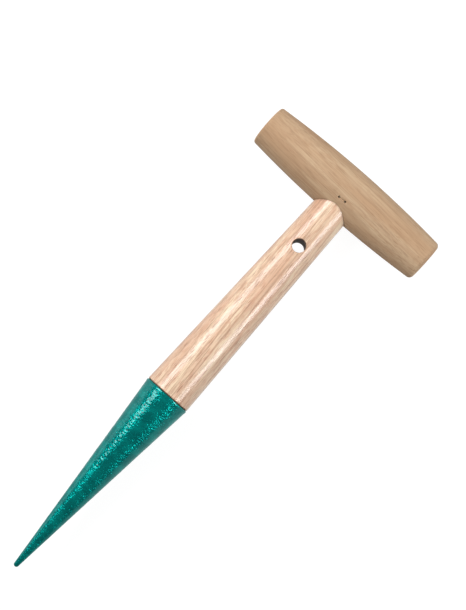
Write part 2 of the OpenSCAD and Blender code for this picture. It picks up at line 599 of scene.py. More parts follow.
class Graph:
    """Makes the nodes of one material, or of the world.

    The MIX values are the places of a colour Mix node's sockets, whose names it shares with other types.
    """

    MIX_SHARE, MIX_LOW, MIX_HIGH, MIX_RESULT = 0, 6, 7, 2

    def __init__(self, owner: bpy.types.Material | bpy.types.World) -> None:
        """Empties the owner's node tree.

        Args:
            owner: The material or the world.
        """
        owner.use_nodes = True
        self.tree = owner.node_tree
        self.tree.nodes.clear()

    def make(self, kind: str, settings: dict, inputs: dict) -> bpy.types.Node:
        """Adds a node.

        Args:
            kind: Type of the node.
            settings: Its properties, set first. "stops" holds the (place, colour) of a ramp's two stops.
            inputs: Values or links of its sockets, by name or index.

        Returns:
            The node.
        """
        made = self.tree.nodes.new(kind)
        for key, value in settings.items():
            if key == "stops":
                for element, (place, colour) in zip(made.color_ramp.elements, value):
                    element.position = place
                    element.color = (*colour, 1.0)
            else:
                setattr(made, key, value)
        for key, value in inputs.items():
            socket = made.inputs[key]
            if isinstance(value, Signal):
                self.tree.links.new(value.socket, socket)
            else:
                wide = socket.type == "RGBA" and len(value) == 3
                socket.default_value = (*value, 1.0) if wide else value
        return made

    def node(self, kind: str, settings: dict, inputs: dict, output: int | str = 0) -> Signal:
        """An output, by name or index, of a new node."""
        return Signal(self, self.make(kind, settings, inputs).outputs[output])

    def coordinates(self, turn_deg: float = 0.0, scale: tuple[float, float, float] = (1.0, 1.0, 1.0),
                    shift: tuple[float, float, float] = (0.0, 0.0, 0.0)) -> Signal:
        """Object coordinates in millimetres, from a Mapping node.

        Args:
            turn_deg: Turn about Z in degrees.
            scale: Scale along X, Y and Z.
            shift: Offset after the scale.

        Returns:
            The coordinates.
        """
        return self.node("ShaderNodeMapping", {}, {
            "Vector": self.node("ShaderNodeTexCoord", {}, {}, "Object"),
            "Rotation": (0.0, 0.0, math.radians(turn_deg)),
            "Scale": tuple(share / MM for share in scale),
            "Location": shift,
        })

    def position(self) -> tuple[Signal, Signal, Signal]:
        """Splits the object coordinates.

        Returns:
            X, Y and Z in metres.
        """
        place = self.node("ShaderNodeTexCoord", {}, {}, "Object")
        split = [self.node("ShaderNodeSeparateXYZ", {}, {0: place}, axis) for axis in "XYZ"]
        return split[0], split[1], split[2]

    def noise(self, place: Signal, layer: Layer) -> Signal:
        """Height from 0 to 1 of a layer's fractal noise at a place."""
        return self.node("ShaderNodeTexNoise", {}, {
            "Vector": place, "Scale": layer.scale, "Detail": layer.detail, "Roughness": layer.roughness,
            "Distortion": layer.warp,
        }, "Fac")

    def mix(self, share: Signal | float, low: Shade, high: Shade) -> Signal:
        """Colour between low and high by a share from 0 to 1."""
        inputs = {self.MIX_SHARE: share, self.MIX_LOW: low, self.MIX_HIGH: high}
        return self.node("ShaderNodeMix", {"data_type": "RGBA"}, inputs, self.MIX_RESULT)

    def bump(self, height: Signal, strength: float, depth: float, before: Signal | None = None) -> Signal:
        """Tips the normal by a height.

        Args:
            height: Height from 0 to 1.
            strength: Strength of the tipping.
            depth: Height of 1 in metres.
            before: Normal that is tipped, if it isn't the mesh's own.

        Returns:
            The tipped normal.
        """
        inputs = {"Strength": strength, "Distance": depth, "Height": height}
        if before is not None:
            inputs["Normal"] = before
        return self.node("ShaderNodeBump", {}, inputs)


def principled(name: str, sockets: Callable[[Graph], dict]) -> bpy.types.Material:
    """Makes a material of one Principled shader.

    Args:
        name: Name of the material.
        sockets: Gives the shader's values and links by socket name, from nodes that it adds to the graph.

    Returns:
        The material.
    """
    material = bpy.data.materials.new(name)
    graph = Graph(material)
    shader = graph.node("ShaderNodeBsdfPrincipled", {}, sockets(graph))
    graph.make("ShaderNodeOutputMaterial", {}, {"Surface": shader})
    return material


# ---------------------------------------------------------------- finishes


class Grain(Enum):
    """Direction in which a piece's fibres run, as its turn in degrees from the shaft's."""

    ALONG_SHAFT = 0.0
    ALONG_CROSSPIECE = 90.0


WOOD_PATCHES = Layer(scale=0.11, detail=2.0, roughness=0.5, squeeze=0.10, start=0.40, full=0.68, share=0.75)
WOOD_DRIFT = Layer(scale=0.30, detail=3.0, roughness=0.55, warp=0.4, squeeze=0.06, start=0.34, full=0.66)
WOOD_STREAKS = Layer(scale=1.0, detail=3.0, roughness=0.65, squeeze=0.014, start=0.47, full=0.66)
WOOD_FIBRES = Layer(scale=2.0, detail=2.0, roughness=0.6, squeeze=0.018, start=0.48, full=0.70, share=0.8)
WOOD_RINGS = Layer(scale=0.09, detail=2.0, roughness=0.5, warp=5.0, squeeze=0.035, start=0.55, share=0.35)
WOOD_PORES = Layer(scale=3.0, detail=1.0, roughness=0.4, squeeze=0.035, start=0.56, full=0.70)
WOOD_BLOTCHES = Layer(scale=0.55, detail=3.0, roughness=0.6, warp=0.8, squeeze=0.22, start=0.48, full=0.66)
PAINT_CLOUDS = Layer(scale=0.12, detail=3.0, roughness=0.55, start=0.35, full=0.7)
PAINT_CELLS = Layer(scale=0.85, detail=1.0, roughness=0.4, warp=0.6, start=0.45, full=0.75, share=0.10)
PAINT_FINE = Layer(scale=2.2, detail=1.0, roughness=0.5)
STEEL_PATCHES = Layer(scale=1.1, detail=3.0, roughness=0.6, start=0.75, full=0.95)
STEEL_SCRATCHES = Layer(scale=3.0, detail=2.0, roughness=0.6)


@dataclass(frozen=True)
class WoodFinish:
    """Pale, fine-pored hardwood.

    Attributes:
        name: Name of the material.
        grain: Direction of its fibres.
        slope: Angle in degrees by which the fibres run off the piece's length.
        cream: Palest wood.
        body: Usual wood.
        flush: Pinkish or darker wood in soft patches.
        pore: Colour of the open pores.
        stain_and_shade: Colour of grime in seams, of raw cut wood and of painted shade in hollows and gaps.
        streak: Strength of the fine lengthwise streaks.
        pore_share: Strength of the pore lines.
        mottle: Strength of the small soft blotches.
        roughness: Roughness of the wood itself.
        shine: Strength of the wood's own shine.
        gloss: Weight of the clear coat.
        gloss_roughness: Roughness of the clear coat.
        shift: Offset of the pattern, so that two pieces don't match.
        pore_drift: Heights of the drift between which pores come to show.
        roughening: Roughness that pores, streaks, and the grime, raw wood and painted shade add.
        sinking: How deep pores and streaks lie, as shares of the grain's depth.
        ring_detail: Scale of the growth rings' finer bends.
        grain_bump: Strength of the grain's bump.
        grain_depth: Depth of the grain.
    """

    name: str
    grain: Grain
    slope: float
    cream: Colour
    body: Colour
    flush: Colour
    pore: Colour
    stain_and_shade: Colour
    streak: float
    pore_share: float
    mottle: float
    roughness: float
    shine: float
    gloss: float
    gloss_roughness: float
    shift: tuple[float, float, float]
    pore_drift: Pair = (0.25, 0.60)
    roughening: tuple[float, float, float] = (0.20, 0.15, 0.6)
    sinking: Pair = (0.7, 0.3)
    ring_detail: float = 0.6
    grain_bump: float = 0.8
    grain_depth: float = 0.10 * MM

    def place(self, graph: Graph, squeeze: float) -> Signal:
        """Coordinates in millimetres whose Y runs with the fibres.

        Args:
            graph: The material's nodes.
            squeeze: Share of the place along the fibres that counts.

        Returns:
            The coordinates.
        """
        turned = graph.coordinates(self.grain.value + self.slope, shift=self.shift)
        scales = {0: turned, 1: (1.0, squeeze, 1.0)}
        return graph.node("ShaderNodeVectorMath", {"operation": "MULTIPLY"}, scales)

    def figure(self, graph: Graph, layer: Layer) -> Signal:
        """Height from 0 to 1 of a layer drawn out along the fibres."""
        return graph.noise(self.place(graph, layer.squeeze), layer)

    def rings(self, graph: Graph, layer: Layer) -> Signal:
        """Height from 0 to 1 of the growth rings, which cross the piece as bent bands."""
        settings = {"wave_type": "BANDS", "bands_direction": "X", "wave_profile": "SAW"}
        return graph.node("ShaderNodeTexWave", settings, {
            "Vector": self.place(graph, layer.squeeze), "Scale": layer.scale, "Distortion": layer.warp,
            "Detail": layer.detail, "Detail Scale": self.ring_detail, "Detail Roughness": layer.roughness,
        }, "Fac")

    def material(self, stains_and_shade: Callable[[Graph], Signal]) -> bpy.types.Material:
        """Makes the wood: soft patches, growth rings, fine streaks and dark pores under the finish.

        Args:
            stains_and_shade: Gives the share of grime, raw darkness and painted shade at a place, for this
                piece's seams, cuts and hollows.

        Returns:
            The material.
        """
        return principled(self.name, lambda graph: self.sockets(graph, stains_and_shade(graph)))

    def sockets(self, graph: Graph, stain_and_shade: Signal) -> dict:
        """Works out the shader's inputs.

        Args:
            graph: The material's nodes.
            stain_and_shade: Share of grime, raw darkness and painted shade.

        Returns:
            Values and links by socket name.
        """
        drift = self.figure(graph, WOOD_DRIFT)
        streaks = self.figure(graph, WOOD_STREAKS)
        patch = WOOD_PATCHES.shown(self.figure(graph, WOOD_PATCHES))
        blotch = WOOD_BLOTCHES.shown(self.figure(graph, WOOD_BLOTCHES))
        fibre = WOOD_FIBRES.shown(self.figure(graph, WOOD_FIBRES))
        ring = WOOD_RINGS.shown(self.rings(graph, WOOD_RINGS))
        pore = WOOD_PORES.shown(self.figure(graph, WOOD_PORES)) * drift.rise(*self.pore_drift)

        colour = graph.mix(WOOD_DRIFT.shown(drift), self.cream, self.body)
        for share, tint in (
            (blotch * self.mottle, self.flush),
            (patch, self.flush),
            (ring, self.flush),
            (WOOD_STREAKS.shown(streaks) * self.streak, self.pore),
            (fibre * self.streak, self.pore),
            (pore * self.pore_share, self.pore),
            # grime, raw wood and painted shade, by the piece's own mask
            (stain_and_shade, self.stain_and_shade),
        ):
            colour = graph.mix(share, colour, tint)

        from_pores, from_streaks, from_stains = self.roughening
        rough = pore * from_pores + streaks * from_streaks + stain_and_shade * from_stains + self.roughness
        relief = 1 - (pore * self.sinking[0] + streaks * self.sinking[1])
        return {
            "Base Color": colour,
            "Roughness": rough.math("MINIMUM", 1.0),
            "Specular IOR Level": self.shine,
            "Coat Weight": (1 - stain_and_shade) * self.gloss,
            "Coat Roughness": self.gloss_roughness,
            "Coat IOR": CLEAR_COAT_IOR,
            "Normal": graph.bump(relief, self.grain_bump, self.grain_depth),
        }


@dataclass(frozen=True)
class EnamelFinish:
    """Hard gloss enamel with a hammered ripple, sprayed on the steel point.

    Attributes:
        name: Name of the material.
        deep: Colour where the paint is thick.
        bright: Colour on the crests of the ripple.
        tint: Tint of the light that the paint throws straight back.
        shine: Strength of the paint's own shine.
        metallic: How far its shine takes the paint's colour.
        roughness: Roughness of the paint under its gloss, where it is smoothest.
        spread: Roughness that the ripple adds.
        spread_at: Heights of the ripple between which it adds it.
        gloss: Weight of the clear gloss.
        gloss_roughness: Roughness of the gloss.
        cell_depth: Depth of the ripple's cells, on top of the mesh's own.
        fine_depth: Depth of the finer unevenness.
        stretch: Scale of the pattern along X, Y and Z.
    """

    name: str
    deep: Colour
    bright: Colour
    tint: Colour
    shine: float
    metallic: float
    roughness: float
    gloss: float
    gloss_roughness: float
    spread: float = 0.12
    spread_at: Pair = (0.3, 0.8)
    cell_depth: float = 0.28 * MM
    fine_depth: float = 0.02 * MM
    stretch: tuple[float, float, float] = (1.0, 1.5, 1.0)

    def material(self) -> bpy.types.Material:
        """Makes the enamel: clouded colour, and a fine ripple on top of the mesh's own."""
        return principled(self.name, self.sockets)

    def sockets(self, graph: Graph) -> dict:
        """Works out the shader's inputs.

        Args:
            graph: The material's nodes.

        Returns:
            Values and links by socket name.
        """
        place = graph.coordinates(scale=self.stretch)
        clouds, cells, fine = (graph.noise(place, layer) for layer in (PAINT_CLOUDS, PAINT_CELLS, PAINT_FINE))
        colour = graph.mix(PAINT_CLOUDS.shown(clouds), self.deep, self.bright)
        colour = graph.mix(PAINT_CELLS.shown(cells), colour, self.bright)
        normal = graph.bump(cells, 1.0, self.cell_depth)
        return {
            "Base Color": colour,
            "Metallic": self.metallic,
            "Specular Tint": self.tint,
            "Specular IOR Level": self.shine,
            "Roughness": cells.rise(*self.spread_at).span(self.roughness, self.roughness + self.spread),
            "Coat Weight": self.gloss,
            "Coat Roughness": self.gloss_roughness,
            "Coat IOR": CLEAR_COAT_IOR,
            "Normal": graph.bump(fine, 1.0, self.fine_depth, normal),
        }


@dataclass(frozen=True)
class SteelFinish:
    """Drawn steel wire with handling marks.

    Attributes:
        name: Name of the material.
        bright: Clean steel.
        dull: Tarnished steel.
        tarnish: Share of the surface that is tarnished.
        roughness: Roughness of the clean steel.
        spread: Roughness that tarnish adds.
        dulling: Metallic shine that tarnish takes away.
        scratch_bump: Strength of the scratches.
        scratch_depth: Depth of the scratches.
        scratch_stretch: Scale of the scratches along X, Y and Z.
    """

    name: str
    bright: Colour
    dull: Colour
    tarnish: float
    roughness: float
    spread: float = 0.35
    dulling: float = 0.4
    scratch_bump: float = 0.3
    scratch_depth: float = 0.02 * MM
    scratch_stretch: tuple[float, float, float] = (0.3, 4.0, 4.0)

    def material(self) -> bpy.types.Material:
        """Makes the steel: clean metal, dull patches and fine scratches."""
        return principled(self.name, self.sockets)

    def sockets(self, graph: Graph) -> dict:
        """Works out the shader's inputs.

        Args:
            graph: The material's nodes.

        Returns:
            Values and links by socket name.
        """
        patches = graph.noise(graph.coordinates(), STEEL_PATCHES)
        spoiled = STEEL_PATCHES.shown(patches + self.tarnish)
        scratches = graph.noise(graph.coordinates(scale=self.scratch_stretch), STEEL_SCRATCHES)
        return {
            "Base Color": graph.mix(spoiled, self.bright, self.dull),
            "Metallic": 1 - spoiled * self.dulling,
            "Roughness": spoiled.span(self.roughness, self.roughness + self.spread),
            "Normal": graph.bump(scratches, self.scratch_bump, self.scratch_depth),
        }


BARE_WOOD = WoodFinish(
    name="bare_wood", grain=Grain.ALONG_CROSSPIECE, slope=3.0,
    cream=srgb(194, 167, 136), body=srgb(184, 155, 125), flush=srgb(176, 142, 110), pore=srgb(132, 98, 70),
    stain_and_shade=srgb(84, 60, 40), streak=0.20, pore_share=0.34, mottle=0.6, roughness=0.62, shine=0.3, gloss=0.0,
    gloss_roughness=0.4, shift=(40.0, 13.0, 7.0),
)
LACQUERED_WOOD = WoodFinish(
    name="lacquered_wood", grain=Grain.ALONG_SHAFT, slope=-3.0,
    cream=srgb(240, 218, 188), body=srgb(228, 194, 166), flush=srgb(216, 172, 144), pore=srgb(158, 114, 88),
    stain_and_shade=srgb(92, 64, 45), streak=0.46, pore_share=0.8, mottle=0.7, roughness=0.20, shine=0.5, gloss=0.5,
    gloss_roughness=0.16, shift=(3.0, 8.0, 21.0),
)
GREEN_ENAMEL = EnamelFinish(
    name="green_enamel", deep=srgb(0, 120, 116), bright=srgb(0, 146, 139), tint=(0.1, 1.0, 0.97), shine=0.2,
    metallic=0.50, roughness=0.14, gloss=0.48, gloss_roughness=0.05,
)
STAPLE_STEEL = SteelFinish(
    name="staple_steel", bright=srgb(205, 190, 165), dull=srgb(140, 112, 84), tarnish=0.35, roughness=0.5,
)
NAIL_STEEL = SteelFinish(
    name="nail_steel", bright=srgb(196, 196, 192), dull=srgb(120, 112, 100), tarnish=0.2, roughness=0.3,
)


@dataclass(frozen=True)
class EdgeDarkening:
    """Darkening that fades out with the distance from an edge, used for grime and for painted shade.

    Attributes:
        full: Distance up to which it shows in full.
        gone: Distance from which it doesn't show.
        share: How dark it is.
    """

    full: float
    gone: float
    share: float

    def near(self, distance: Signal, edge: float = 0.0) -> Signal:
        """Share of darkening at a distance, of which edge is the zero."""
        return distance.rise(edge + self.gone, edge + self.full) * self.share


# ---------------------------------------------------------------- sub-assemblies


@dataclass
class Layout:
    """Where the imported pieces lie.

    Attributes:
        axis_z: Height of the shaft's and the crosspiece's axes.
        tip_y: Place of the point's tip.
        rim_y: Place of the point's rim.
        cross_y: Place of the crosspiece's axis.
        cross_half: Half the crosspiece's length.
        cross_r: Radius at the crosspiece's middle.
        tenon_y: Place of the shaft's lower end, inside the point.
        top_y: Place of the shaft's upper end, inside the crosspiece.
        hole_y: Place of the hanging hole's axis.
        hole_r: Radius of the hanging hole.
    """

    axis_z: float
    tip_y: float
    rim_y: float
    cross_y: float
    cross_half: float
    cross_r: float
    tenon_y: float
    top_y: float
    hole_y: float
    hole_r: float

    @classmethod
    def read(cls) -> "Layout":
        """Reads the places from the frame.

        Returns:
            The layout.
        """
        low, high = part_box("handle")
        point_low, point_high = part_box("steel_point")
        shaft_low, shaft_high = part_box("shaft")
        hole = next(m for m in frame["record"]["mounts"] if m["name"] == "hang_hole")
        cross_r = (high.z - low.z) / 2
        return cls(
            axis_z=(low.z + high.z) / 2,
            tip_y=point_low.y,
            rim_y=point_high.y,
            cross_y=high.y - cross_r,
            cross_half=(high.x - low.x) / 2,
            cross_r=cross_r,
            tenon_y=shaft_low.y,
            top_y=shaft_high.y,
            hole_y=hole["pos_m"][1],
            hole_r=hole["dims"]["r_mm"] * MM,
        )

    @property
    def mouth_y(self) -> float:
        """Place of the crosspiece's underside, where the shaft enters it."""
        return self.cross_y - self.cross_r

    def along_shaft(self, outline: Array, columns: int, skin: tuple[int, int], relief: Relief) -> Lathe:
        """A surface turned about the shaft's axis, whose turn 0 faces up and quarter turn faces +X."""
        return Lathe(self.axis_z * Z, Y, Z, X, outline, columns, skin, relief)

    def along_crosspiece(self, outline: Array, columns: int, skin: tuple[int, int], relief: Relief) -> Lathe:
        """A surface turned about the crosspiece's axis, whose turn 0 faces up and quarter turn the point."""
        return Lathe(self.cross_y * Y + self.axis_z * Z, X, Z, -Y, outline, columns, skin, relief)


def dress(piece: bpy.types.Object, node: str, finish: bpy.types.Material) -> None:
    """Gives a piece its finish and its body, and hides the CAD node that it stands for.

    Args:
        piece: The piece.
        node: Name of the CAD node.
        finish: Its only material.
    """
    piece.data.materials.clear()
    piece.data.materials.append(finish)
    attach(piece, "root")
    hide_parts(node)
    LOG.info("%s: %d faces, finished in %s", piece.name, len(piece.data.polygons), finish.name)


@dataclass
class Crosspiece:
    """The turned grip: a long barrel with a socket for the shaft and a sunk slot for the staple.

    Attributes:
        layout: Where the pieces lie.
        end_d: Diameter at both ends, before their edges are rounded.
        left_edge_r: Rounding of the left end's edge.
        right_edge_r: Rounding of the right end's edge.
        socket_d: Diameter of the socket.
        socket_depth: Depth of the socket below the barrel's underside.
        socket_ease: Width of the socket's eased edge.
        socket_margin: Width of the worked patch round the socket.
        slot_size: Width and length of the staple's slot, across the crosspiece and along it.
        slot_squareness: Power of the slot's outline.
        slot_depths: Depth of the slot over the staple's crown and over its legs.
        slot_fall: Shares of the slot's half length between which its floor falls.
        slot_crush: Width of the slot's crushed edge.
        slot_margin: Width of the worked patch round the slot.
        slot_turn_deg: Turn of the slot from straight up towards the point.
        slot_x: Place of the slot's middle along the crosspiece.
        leg_inset: Distance from the slot's ends to the painted shade over the legs.
        leg_rise: Distance above the axis over which that painted shade sets in, so that it is only on top.
        relief_depth: Depth of the soft lengthwise unevenness left by sanding.
        relief_fade: Distance from the ends over which it sets in.
        seam_fade: Distance past the axis over which the seam's grime sets in, towards the point.
        seam_grime: Dark grime in the seam round the shaft.
        leg_shade: Painted shade over the staple's legs, in and round the slot's deep ends.
        columns: Points round the barrel.
        steps: Rows along the barrel.
        hollows: Pattern of the unevenness.
    """

    layout: Layout
    end_d: float = 23.8 * MM
    left_edge_r: float = 1.4 * MM
    right_edge_r: float = 2.6 * MM
    socket_d: float = 21.2 * MM
    socket_depth: float = 19 * MM
    socket_ease: float = 0.25 * MM
    socket_margin: float = 1.6 * MM
    slot_size: Pair = (0.9 * MM, 5.4 * MM)
    slot_squareness: float = 6.0
    slot_depths: Pair = (0.5 * MM, 1.5 * MM)
    slot_fall: Pair = (0.5, 0.8)
    slot_crush: float = 0.12 * MM
    slot_margin: float = 0.5 * MM
    slot_turn_deg: float = 24.6
    slot_x: float = 0.8 * MM
    leg_inset: float = 0.7 * MM
    leg_rise: float = 1 * MM
    relief_depth: float = 0.05 * MM
    relief_fade: float = 6 * MM
    seam_fade: float = 4 * MM
    seam_grime: EdgeDarkening = EdgeDarkening(full=0.1 * MM, gone=0.7 * MM, share=0.25)
    # painted shade over the staple's legs
    leg_shade: EdgeDarkening = EdgeDarkening(full=0.40 * MM, gone=0.80 * MM, share=0.9)
    columns: int = 192
    steps: int = 150
    hollows: SolidNoise = field(init=False)

    def __post_init__(self) -> None:
        """Draws the unevenness."""
        self.hollows = SolidNoise(seed=11, cell=(21 * MM, 4 * MM, 4 * MM))

    def radius(self, x: Array) -> Array:
        """Barrel radius at a place: the middle's, less a share that grows with the distance squared."""
        drop = self.layout.cross_r - self.end_d / 2
        return self.layout.cross_r - drop * (x / self.layout.cross_half) ** 2

    def outline(self) -> tuple[Array, tuple[int, int]]:
        """Works out the barrel's outline from the left end's middle to the right end's.

        Returns:
            The (along, radius) points, and the first and last row of the skin.
        """
        half = self.layout.cross_half
        left = self.left_edge_r - half
        right = half - self.right_edge_r
        left_r = float(self.radius(np.array(left))) - self.left_edge_r
        right_r = float(self.radius(np.array(right))) - self.right_edge_r
        start = line((-half, 0.0), (-half, left_r), steps=10)
        left_round = arc((left, left_r), self.left_edge_r, (HALF_TURN, QUARTER_TURN), steps=10)
        x = np.linspace(left, right, self.steps + 1)[1:-1]
        barrel = np.stack([x, self.radius(x)], axis=1)
        right_round = arc((right, right_r), self.right_edge_r, (QUARTER_TURN, 0.0), steps=12)
        finish = line((half, 0.0), (half, right_r), steps=10)[::-1]
        first = len(start) + len(left_round) - 1
        rows = np.concatenate([start, left_round, barrel, right_round, finish])
        return rows, (first, first + len(barrel) + 1)

    def relief(self, points: Array) -> Array:
        """Depth of the sanding marks: long soft hollows, faded out towards both ends."""
        edge = self.layout.cross_half - np.abs(points[..., 0])
        return self.relief_depth * self.hollows(points) * smooth(edge / self.relief_fade)

    def build(self) -> bpy.types.Object:
        """Builds the barrel, its socket and its slot as one closed mesh.

        Returns:
            The piece.
        """
        outline, skin = self.outline()
        lathe = self.layout.along_crosspiece(outline, self.columns, skin, self.relief)
        return Shell.turned(lathe, [self.socket(lathe), self.slot(lathe)]).build("crosspiece")

    def socket(self, lathe: Lathe) -> tuple[Opening, Array]:
        """Works the blind socket that faces the point: patch, eased edge, wall and floor.

        Args:
            lathe: The barrel.

        Returns:
            The opening and the rows that line it.
        """
        half = (self.socket_d / 2, self.socket_d / 2)
        opening = Opening(lathe, (0.0, QUARTER_TURN), half, self.socket_margin, self.layout.cross_r)
        mouth = opening.mouth(self.socket_ease, patch_steps=6, ease_steps=4)
        floor = mouth[-1].copy()
        floor[:, 1] = self.layout.mouth_y + self.socket_depth
        centre = np.repeat(floor.mean(axis=0)[None], len(floor), axis=0)
        wall = between(mouth[-1], floor, steps=12)
        return opening, np.concatenate([mouth, wall[1:], between(floor, centre, steps=3)[1:]])

    def slot(self, lathe: Lathe) -> tuple[Opening, Array]:
        """Works the sunk slot over the staple: patch, crushed edge, wall and uneven floor.

        Args:
            lathe: The barrel.

        Returns:
            The opening and the rows that line it.
        """
        place = (self.slot_x, math.radians(self.slot_turn_deg))
        half = (self.slot_size[0] / 2, self.slot_size[1] / 2)
        opening = Opening(lathe, place, half, self.slot_margin, self.layout.cross_r, self.slot_squareness)
        mouth = opening.mouth(self.slot_crush, patch_steps=3, ease_steps=3)
        floor = opening.pocket(self.slot_floor, steps=8)
        return opening, np.concatenate([mouth, between(mouth[-1], floor[0], steps=4)[1:], floor[1:]])

    def slot_floor(self, along: Array) -> Array:
        """Depth of the slot's floor: shallow where the wood has closed over the crown, deep over the legs.

        Args:
            along: Distances from the slot's middle along it.

        Returns:
            Depths below the surface.
        """
        shallow, deep = self.slot_depths
        start, end = self.slot_fall
        share = np.abs(along) / (self.slot_size[1] / 2)
        return shallow + (deep - shallow) * smooth((share - start) / (end - start))

    def dress(self, piece: bpy.types.Object) -> None:
        """Finishes the crosspiece in bare wood."""
        dress(piece, "handle", BARE_WOOD.material(self.stains_and_shade))

    def stains_and_shade(self, graph: Graph) -> Signal:
        """Dark grime in the seam round the shaft, on the side that faces the point, and painted shade over
        the staple's legs.

        Args:
            graph: The material's nodes.

        Returns:
            Share of grime and painted shade.
        """
        place = self.layout
        x, y, z = graph.position()
        seam = self.seam_grime.near(x.hypot(z - place.axis_z), self.socket_d / 2)
        seam = seam * y.rise(place.cross_y, place.cross_y - self.seam_fade)
        # painted shade over the staple's legs, where the slot's ends are deep; on top only
        leg_x = self.slot_size[1] / 2 - self.leg_inset
        leg_y = place.cross_y - place.cross_r * math.sin(math.radians(self.slot_turn_deg))
        off_leg = ((x - self.slot_x).math("ABSOLUTE") - leg_x).hypot(y - leg_y)
        upper = z.rise(place.axis_z, place.axis_z + self.leg_rise)
        return seam.math("MAXIMUM", self.leg_shade.near(off_leg) * upper)


@dataclass
class Shaft:
    """The tapered shaft: a tenon inside the point, a shoulder on its rim, and a hanging hole.

    Attributes:
        layout: Where the pieces lie.
        low_d: Diameter at the shoulder.
        top_d: Diameter where it enters the crosspiece.
        tenon_d: Diameters at the tenon's lower end and at the point's rim.
        bevel: Bevel on both end faces.
        shoulder_r: Rounding of the shoulder.
        hole_ease: Width of the hanging hole's eased edge.
        hole_margin: Width of the worked patch round the hanging hole.
        relief_depth: Depth of the soft lengthwise grain relief.
        relief_shares: Shares of the broad and the fine hollows in it.
        relief_fade: Distance from the shoulder and from the crosspiece over which it sets in.
        hole_raw_and_shade: Raw, unlacquered wood in the hanging hole, darkened as painted shade on its wall
            and round its mouth.
        rim_gap_shadow: Painted gap shadow on the wood in the seam at the point's rim.
        joint_grime: Dark grime in the seam at the crosspiece.
        columns: Points round the shaft.
        steps: Rows along the visible taper.
        broad: Pattern of the broad hollows.
        fine: Pattern of the fine hollows.
    """

    layout: Layout
    low_d: float = 27 * MM
    top_d: float = 21.1 * MM
    tenon_d: Pair = (15.68 * MM, 24.9 * MM)
    bevel: float = 0.6 * MM
    shoulder_r: float = 0.85 * MM
    hole_ease: float = 0.75 * MM
    hole_margin: float = 2.2 * MM
    relief_depth: float = 0.05 * MM
    relief_shares: Pair = (0.6, 0.4)
    relief_fade: float = 4 * MM
    # raw wood and painted shade in the hanging hole
    hole_raw_and_shade: EdgeDarkening = EdgeDarkening(full=0.02 * MM, gone=0.25 * MM, share=0.85)
    # painted gap shadow in the seam at the point's rim
    rim_gap_shadow: EdgeDarkening = EdgeDarkening(full=0.3 * MM, gone=0.9 * MM, share=0.9)
    joint_grime: EdgeDarkening = EdgeDarkening(full=0.1 * MM, gone=0.6 * MM, share=0.2)
    columns: int = 216
    steps: int = 210
    broad: SolidNoise = field(init=False)
    fine: SolidNoise = field(init=False)

    def __post_init__(self) -> None:
        """Draws the hollows."""
        self.broad = SolidNoise(seed=5, cell=(2.6 * MM, 27 * MM, 2.6 * MM))
        self.fine = SolidNoise(seed=6, cell=(0.9 * MM, 11 * MM, 0.9 * MM))

    def outline(self) -> tuple[Array, tuple[int, int]]:
        """Works out the outline from the tenon's end to the socket's end.

        Returns:
            The (along, radius) points, and the first and last row of the skin.
        """
        place = self.layout
        top_r = self.top_d / 2
        end_r, neck_r = self.tenon_d[0] / 2, self.tenon_d[1] / 2
        shoulder_r = self.low_d / 2 - self.shoulder_r
        shoulder_y = place.rim_y + self.shoulder_r
        low_bevel_y = place.tenon_y + self.bevel
        top_bevel_y = place.top_y - self.bevel
        tenon = np.concatenate([
            line((place.tenon_y, 0.0), (place.tenon_y, end_r - self.bevel), steps=4),
            line((place.tenon_y, end_r - self.bevel), (low_bevel_y, end_r), steps=2),
            line((low_bevel_y, end_r), (place.rim_y, neck_r), steps=12),
            line((place.rim_y, neck_r), (place.rim_y, shoulder_r), steps=2),
            arc((shoulder_y, shoulder_r), self.shoulder_r, (HALF_TURN, QUARTER_TURN), steps=8)[:-1],
        ])
        taper = line((shoulder_y, self.low_d / 2), (place.mouth_y, top_r), self.steps)
        top = np.concatenate([
            line((place.mouth_y, top_r), (top_bevel_y, top_r), steps=16),
            line((top_bevel_y, top_r), (place.top_y, top_r - self.bevel), steps=2),
            line((place.top_y, 0.0), (place.top_y, top_r - self.bevel), steps=4)[::-1],
        ])
        return np.concatenate([tenon, taper, top]), (len(tenon), len(tenon) + len(taper))

    def relief(self, points: Array) -> Array:
        """Depth of the grain relief: long soft hollows, faded out at the shoulder and at the crosspiece.

        Args:
            points: Points on the plain skin.

        Returns:
            Depths below it.
        """
        y = points[..., 1]
        hollows = self.relief_shares[0] * self.broad(points) + self.relief_shares[1] * self.fine(points)
        end = np.minimum(y - self.layout.rim_y - self.shoulder_r, self.layout.mouth_y - y)
        return self.relief_depth * hollows * smooth(end / self.relief_fade)

    def build(self) -> bpy.types.Object:
        """Builds the shaft and its hanging hole as one closed mesh.

        Returns:
            The piece.
        """
        outline, skin = self.outline()
        lathe = self.layout.along_shaft(outline, self.columns, skin, self.relief)
        mouths = [self.hole_mouth(lathe, turn) for turn in (0.0, HALF_TURN)]
        upper, lower = (self.in_order(rows[-1]) for _, rows in mouths)
        shell = Shell.turned(lathe, mouths)
        shell.add(between(upper, lower, steps=16))
        return shell.build("shaft_body")

    def hole_mouth(self, lathe: Lathe, turn: float) -> tuple[Opening, Array]:
        """Works one mouth of the hanging hole: the patch round it and its eased edge.

        Args:
            lathe: The shaft.
            turn: Side of the shaft that it is on.

        Returns:
            The opening and the rows of its mouth.
        """
        half = (self.layout.hole_r, self.layout.hole_r)
        middle_r = (self.low_d + self.top_d) / 4
        opening = Opening(lathe, (self.layout.hole_y, turn), half, self.hole_margin, middle_r)
        return opening, opening.mouth(self.hole_ease, patch_steps=6, ease_steps=8)

    def in_order(self, mouth: Array) -> Array:
        """Points of a mouth's inner edge in order of their angle, so that both mouths' points match."""
        return mouth[np.argsort(np.arctan2(mouth[:, 1] - self.layout.hole_y, mouth[:, 0]))]

